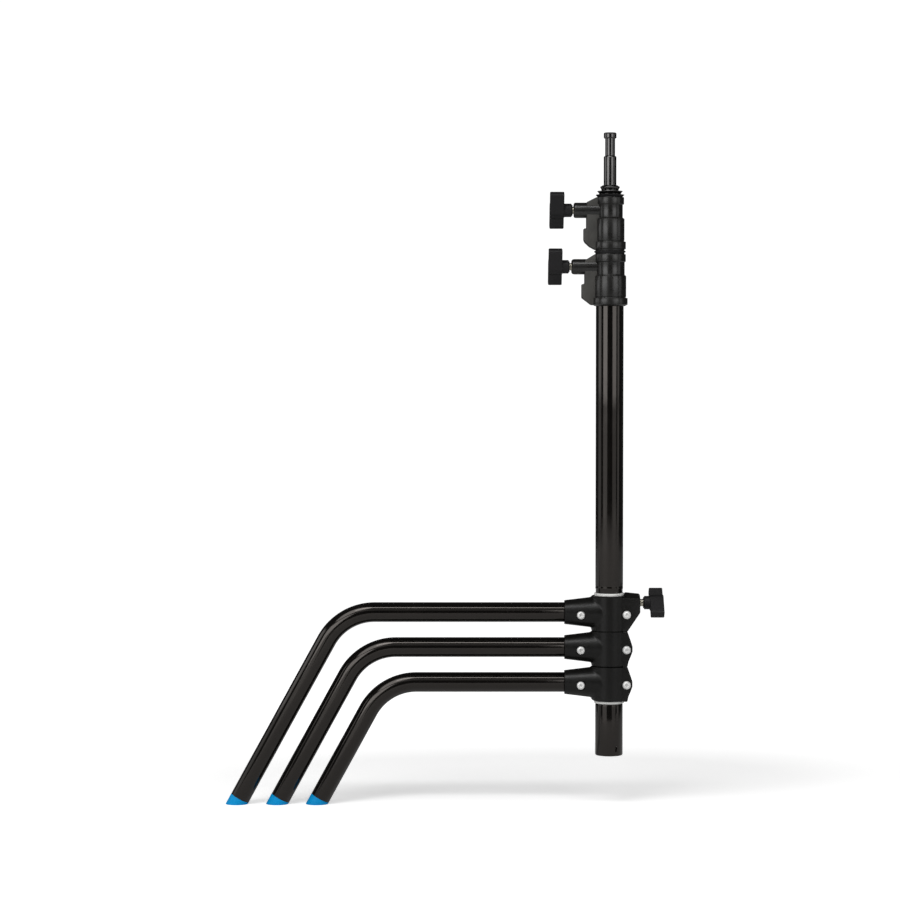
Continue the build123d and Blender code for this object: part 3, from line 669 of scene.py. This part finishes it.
def copy_to(original, name, turn, place):
    """A copy with its own mesh, turned about the origin and then moved into place."""
    copy = bpy.data.objects.new(name, original.data.copy())
    bpy.context.collection.objects.link(copy)
    copy.data.transform(Matrix.Translation(place) @ turn.to_4x4())
    return copy


facing_front = Matrix.Rotation(radians(90), 3, "X")
facing_back = Matrix.Rotation(radians(-90), 3, "X")
leg_bolt = button_bolt(2 * leg_bolt_seat + nut_tall)
pinch_bolt = button_bolt(2 * ear_half + nut_tall)
nut = hex_nut()
for name, body in (("low", "low_leg"), ("mid", "mid_leg"), ("top", "base")):
    for kind, bolt, seat in (("leg", leg_bolt, leg_bolt_seat), ("pinch", pinch_bolt, ear_half)):
        low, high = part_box(f"{name}_{kind}_bolt")
        x, z = (low.x + high.x) / 2, (low.z + high.z) / 2
        head = copy_to(bolt, f"{name}_{kind}_bolt_steel", facing_front, (x, -seat * mm, z))
        back = copy_to(nut, f"{name}_{kind}_nut_steel", facing_back, (x, seat * mm, z))
        for piece, node in ((head, f"{name}_{kind}_bolt"), (back, f"{name}_{kind}_nut")):
            piece.data.materials.append(bright_steel)
            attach(piece, body)
            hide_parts(node)
for original in (leg_bolt, pinch_bolt, nut):
    bpy.data.objects.remove(original)


# ------------------------------------------------------------------ column and risers
# Three plain steel tubes that nest in each other, painted gloss black. Each open end is deburred,
# and the column has a rolled bead above its plug.
for node, body in (("column_tube", "column"), ("riser_2_tube", "riser_2"), ("riser_3_tube", "riser_3")):
    low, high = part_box(node)
    outer = high.x / mm
    inner = outer - 1.5
    tall = (high.z - low.z) / mm
    foot = [(inner, 0.5), (inner + 0.3, 0), (outer - 0.3, 0), (outer, 0.4)]
    if node == "column_tube":
        foot = [(inner - 0.4, 0.5), (inner - 0.1, 0), (outer - 1.0, 0), (outer - 0.4, 0.6), (outer - 0.4, 4.6),
                (outer, 5.6), (outer, 7.4), (outer - 0.18, 8.4), (outer, 9.4)]
    rings = foot + [(outer, tall - 0.4), (outer - 0.3, tall), (inner + 0.3, tall), (inner, tall - 0.5), (inner, 12)]
    rings.append(foot[0])
    tube = turned(node + "_drawn", low.z, rings)
    soften(tube, 0.1)
    tube.data.materials.append(gloss_black)
    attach(tube, body)
    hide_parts(node)


# ------------------------------------------------------------------ collars
# Two aluminium castings with turned rings. A thick web on the left carries the boss of the lock
# screw and a rounded lobe at its foot. The web keeps its rough cast skin.
rough_casting = finish_of(
    "rough_casting", (0.047, 0.045, 0.040), (0.029, 0.028, 0.025), (0.12, 0.115, 0.105),
    rough=0.60, smooth=0.45, grain=900, depth=0.10, reach=0.5)
turned_casting = finish_of(
    "turned_casting", (0.0095, 0.0090, 0.0082), (0.0065, 0.0062, 0.0057), (0.08, 0.077, 0.07),
    rough=0.34, smooth=0.24, grain=1200, depth=0.02, reach=0.5)


def collar(name, node, tube_radius, rings, outline, boss_end_chamfer, boss_over):
    low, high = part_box(node)
    outer = [(tube_radius + grow, height) for grow, height in rings]
    hole = 11.0
    sleeve = turned(name, low.z, [(hole, 0)] + outer + [(hole, outer[-1][1]), (hole, 0)])
    soften(sleeve, 0.3, turn=25)
    web = plate([(x * mm, low.z + z * mm) for x, z in outline], 8.0)
    soften(web, 1.2, turn=20, segments=3)
    boss_z = low.z + boss_over * mm
    boss = cylinder((-0.010, 0, boss_z), (low.x, 0, boss_z), 9.75, 64)
    pick(boss, "FACE", lambda face: face.normal.x < -0.9)
    bpy.ops.mesh.bevel(offset=boss_end_chamfer * mm, segments=3, profile=0.6)
    bpy.ops.object.mode_set(mode="OBJECT")
    combine(web, boss, "UNION")
    combine(sleeve, web, "UNION")
    combine(sleeve, cylinder((0, 0, low.z - 0.01), (0, 0, high.z + 0.01), tube_radius - 1.0, 96), "DIFFERENCE")
    combine(sleeve, cylinder((0, 0, low.z - 0.01), (0, 0, low.z + 0.0385), tube_radius + 0.03, 96), "DIFFERENCE")
    combine(sleeve, cylinder((0, 0, boss_z), (-0.08, 0, boss_z), 5.05, 48), "DIFFERENCE")
    bpy.ops.object.shade_smooth_by_angle(angle=radians(28))
    sleeve.data.materials.clear()
    sleeve.data.materials.append(turned_casting)
    sleeve.data.materials.append(rough_casting)
    for face in sleeve.data.polygons:
        on_side = abs(face.normal.y) > 0.95 and abs(abs(face.center.y) - 8.0 * mm) < 0.3 * mm
        face.material_index = 1 if on_side and face.center.x < -(tube_radius + 1.0) * mm else 0
    return sleeve


lower_collar = collar(
    "lower_collar_cast", "lower_collar", 17.5,
    [(1.6, 0), (5.0, 1.9), (5.0, 10.0), (2.6, 10.4), (2.6, 11.4), (3.15, 11.8), (3.15, 37.8), (1.2, 39.3),
     (1.2, 55.4), (2.6, 56.2), (2.6, 65.0), (2.2, 65.4)],
    [(-12, 1.2), (-24, 1.2), (-35.9, 10.3), (-35.9, 27.6), (-32.2, 27.9), (-32.2, 57.5), (-19.8, 65.2), (-12, 65.2)],
    4.2, 49.7)
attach(lower_collar, "column")
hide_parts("lower_collar")
upper_collar = collar(
    "upper_collar_cast", "upper_collar", 15.0,
    [(3.4, 0), (3.4, 1.8), (5.1, 2.4), (5.1, 11.4), (2.9, 11.8), (2.9, 12.6), (3.35, 12.9), (3.35, 40.4), (1.15, 41.8),
     (1.15, 58.2), (2.75, 58.8), (2.75, 67.2), (2.3, 67.7)],
    [(-12, 1.4), (-19.5, 1.4), (-26, 4.9), (-31.8, 10.2), (-33.5, 13.2), (-33.5, 28), (-30, 28.3), (-30, 61.2),
     (-18, 67.2), (-12, 67.2)],
    2.8, 51.2)
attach(upper_collar, "riser_2")
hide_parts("upper_collar")


# ------------------------------------------------------------------ collar bushes
# Black plastic bushes pressed into the collars. Their lips show as thin rings on top.
black_plastic = finish_of(
    "black_plastic", (0.0105, 0.0100, 0.0108), (0.0075, 0.0072, 0.0078), (0.035, 0.035, 0.037),
    rough=0.62, smooth=0.46, grain=1500, depth=0.03, reach=0.3)
black_plastic.node_tree.nodes["Principled BSDF"].inputs["Specular IOR Level"].default_value = 0.25
for node, body, rings in (
    ("lower_collar_bush", "column", [(15.05, 0), (16.55, 0), (16.55, 25), (18.4, 25), (18.4, 27.2), (19.4, 27.3),
                                     (19.9, 27.8), (19.9, 28.8), (19.4, 29.2), (15.05, 29.2), (15.05, 0)]),
    ("upper_collar_bush", "riser_2", [(12.55, 0), (14.05, 0), (14.05, 25), (15.8, 25), (15.9, 25.6), (18.0, 27.6),
                                      (18.25, 27.9), (17.9, 28.2), (12.55, 28.2), (12.55, 0)])):
    low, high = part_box(node)
    bush = turned(node + "_moulded", low.z, rings)
    boss_z = sum(corner.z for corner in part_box(node.replace("collar_bush", "lock_stud"))) / 2
    combine(bush, cylinder((0, 0, boss_z), (-0.03, 0, boss_z), 5.05, 32), "DIFFERENCE")
    soften(bush, 0.12)
    bush.data.materials.append(black_plastic)
    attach(bush, body)
    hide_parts(node)


# ------------------------------------------------------------------ pin base and baby pin
# A turned steel cap with two flared rings, and the 16 mm pin above it with a groove under its head.
# Both are polished and black chromed.
black_chrome = finish_of(
    "black_chrome", (0.085, 0.083, 0.082), (0.065, 0.064, 0.064), (0.35, 0.34, 0.33),
    rough=0.2, smooth=0.1, grain=2000, depth=0.006, reach=0.4, metal=1.0)
low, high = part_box("pin_base")
cap_foot = (high.z - low.z) / mm - 11.6
pin_base = turned("pin_base_turned", low.z, [
    (5.03, 0), (9.95, 0), (10.95, 1), (10.95, cap_foot), (13.75, cap_foot), (13.75, cap_foot + 0.9),
    (14.6, cap_foot + 2.2), (16.0, cap_foot + 3.9), (15.9, cap_foot + 4.3), (10.9, cap_foot + 4.6),
    (10.7, cap_foot + 5.4), (11.4, cap_foot + 7.2), (12.5, cap_foot + 9.2), (12.3, cap_foot + 9.7),
    (9.5, cap_foot + 11.4), (8.4, cap_foot + 11.6), (5.03, cap_foot + 11.6), (5.03, 0)])
soften(pin_base, 0.12)
baby_low, baby_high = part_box("baby_pin")
tail = (high.z - baby_low.z) / mm
top = (baby_high.z - baby_low.z) / mm
baby_pin = turned("baby_pin_turned", baby_low.z, [
    (4.3, 0), (5.0, 0.7), (5.0, tail), (8.0, tail), (8.0, tail + 35.5), (7.6, tail + 36.3), (6.7, tail + 36.7),
    (6.3, tail + 36.9), (6.25, tail + 37.4), (6.25, top - 7.5), (6.4, top - 7.1), (7.3, top - 7.1), (8.0, top - 6.4),
    (8.0, top - 0.8), (7.2, top), (1.0, top)])
soften(baby_pin, 0.1, turn=20)
for piece, node in ((pin_base, "pin_base"), (baby_pin, "baby_pin")):
    piece.data.materials.append(black_chrome)
    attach(piece, "riser_3")
    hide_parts(node)


# ------------------------------------------------------------------ lock screws
# A moulded knob with two offset wings, on a zinc-plated M10 stud whose thread runs in the boss.
# The three knobs are the same moulding, tightened to different angles.
zinc_steel = finish_of(
    "zinc_steel", (0.62, 0.59, 0.50), (0.50, 0.47, 0.39), (0.75, 0.73, 0.68),
    rough=0.4, smooth=0.25, grain=2000, depth=0.01, reach=0.3, metal=1.0, speckle=0.15)
turned_brass = finish_of(
    "turned_brass", (0.62, 0.44, 0.18), (0.50, 0.35, 0.14), (0.75, 0.58, 0.30),
    rough=0.4, smooth=0.25, grain=2000, depth=0.01, reach=0.3, metal=1.0)
thread_pitch = 1.5
thread_root = 4.45


def wing_knob(stem, body_length):
    """A knob along +X from its stem's end at the origin, with its upper wing at the back."""
    middle = (stem + body_length / 2) * mm
    parts = [cylinder((0.0012, 0, 0), (middle, 0, 0), 8.55, 64),
             cylinder((stem * mm, 0, 0), ((stem + body_length) * mm, 0, 0), 10.0, 64),
             cylinder((0, 0, 0), (0.003, 0, 0), 6.9, 64)]
    for side in (-1, 1):
        bpy.ops.object.select_all(action="DESELECT")
        bpy.ops.mesh.primitive_cube_add(size=1, location=(middle, side * 4.25 * mm, side * 12.5 * mm))
        wing = bpy.context.object
        wing.scale = (body_length * mm, 11.5 * mm, 25.0 * mm)
        bpy.ops.object.transform_apply(location=True, rotation=True, scale=True)

        def outer_corner(edge, points=wing.data.vertices):
            a, b = (points[index].co for index in edge.vertices)
            return min(abs(a.z), abs(b.z)) > 0.024 and abs(a.x - b.x) > 0.001

        pick(wing, "EDGE", outer_corner)
        bpy.ops.mesh.bevel(offset=3.0 * mm, segments=6)
        bpy.ops.object.mode_set(mode="OBJECT")
        soften(wing, 1.1, turn=40, segments=3)
        parts.append(wing)
    knob = melt(parts, 0.5, 5)
    combine(knob, cylinder((-0.01, 0, 0), ((stem + 10) * mm, 0, 0), 5.03, 48), "DIFFERENCE")
    outer = (stem + body_length) * mm
    combine(knob, cylinder((outer - 0.8 * mm, 0, 0), (outer + 0.01, 0, 0), 5.5, 48), "DIFFERENCE")
    bpy.ops.object.shade_smooth_by_angle(angle=radians(35))
    return knob


def threaded_stud(length):
    """A stud along +X from the origin: a core with a helical ridge."""
    bpy.ops.object.select_all(action="DESELECT")
    bpy.ops.mesh.primitive_circle_add(vertices=3, radius=0.6 * mm, location=(0.001, 0, 4.37 * mm),
                                      rotation=(radians(90), 0, 0))
    ridge = bpy.context.object
    bpy.ops.object.transform_apply(location=True, rotation=True, scale=True)
    turns = int((length - 2) / thread_pitch)
    screw = ridge.modifiers.new("thread", "SCREW")
    screw.axis = "X"
    screw.screw_offset = thread_pitch * mm
    screw.iterations = turns
    screw.steps = 32
    screw.render_steps = 32
    bpy.ops.object.modifier_apply(modifier=screw.name)
    core = cylinder((0, 0, 0), (length * mm, 0, 0), thread_root, 48)
    soften(core, 0.3)
    ridge.select_set(True)
    bpy.ops.object.join()
    bpy.ops.object.shade_smooth_by_angle(angle=radians(40))
    return bpy.context.object


for prefix, side, lean, stem, body_length, pad_body in (
        ("base", 1, -45, 8.4, 17.3, "base_pad"),
        ("lower", -1, 22, 9.4, 17.4, "lower_pad"),
        ("upper", -1, 22, 10.7, 18.0, "upper_pad")):
    low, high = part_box(prefix + "_lock_knob")
    start = low.x if side > 0 else high.x
    axis_z = sum(corner.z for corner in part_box(prefix + "_lock_stud")) / 2
    turn = Matrix.Rotation(radians(lean), 3, "X") @ Matrix.Rotation(0 if side > 0 else pi, 3, "Z")
    plain = wing_knob(stem, body_length)
    knob = copy_to(plain, prefix + "_wing_knob", turn, (start, 0, axis_z))
    bpy.data.objects.remove(plain)
    knob.data.materials.clear()
    knob.data.materials.append(black_plastic)
    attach(knob, prefix + "_knob")
    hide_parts(prefix + "_lock_knob")

    stud_low, stud_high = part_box(prefix + "_lock_stud")
    stud_start = stud_low.x if side > 0 else stud_high.x
    plain = threaded_stud((stud_high.x - stud_low.x) / mm)
    stud = copy_to(plain, prefix + "_threaded_stud", turn, (stud_start, 0, axis_z))
    bpy.data.objects.remove(plain)
    stud.data.materials.clear()
    stud.data.materials.append(zinc_steel)
    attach(stud, prefix + "_knob")
    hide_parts(prefix + "_lock_stud")
    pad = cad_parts[prefix + "_lock_pad"]
    pad.data.materials.clear()
    pad.data.materials.append(turned_brass)


# ------------------------------------------------------------------ hidden pins, plug and grub screws
# Plated steel pieces that hold the tubes together. They show only when the stand is taken apart.
for node in ("column_plug", "column_plug_pin", "pin_cross_pin", "lower_collar_grub_screws",
             "upper_collar_grub_screws"):
    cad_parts[node].data.materials.clear()
    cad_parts[node].data.materials.append(zinc_steel)
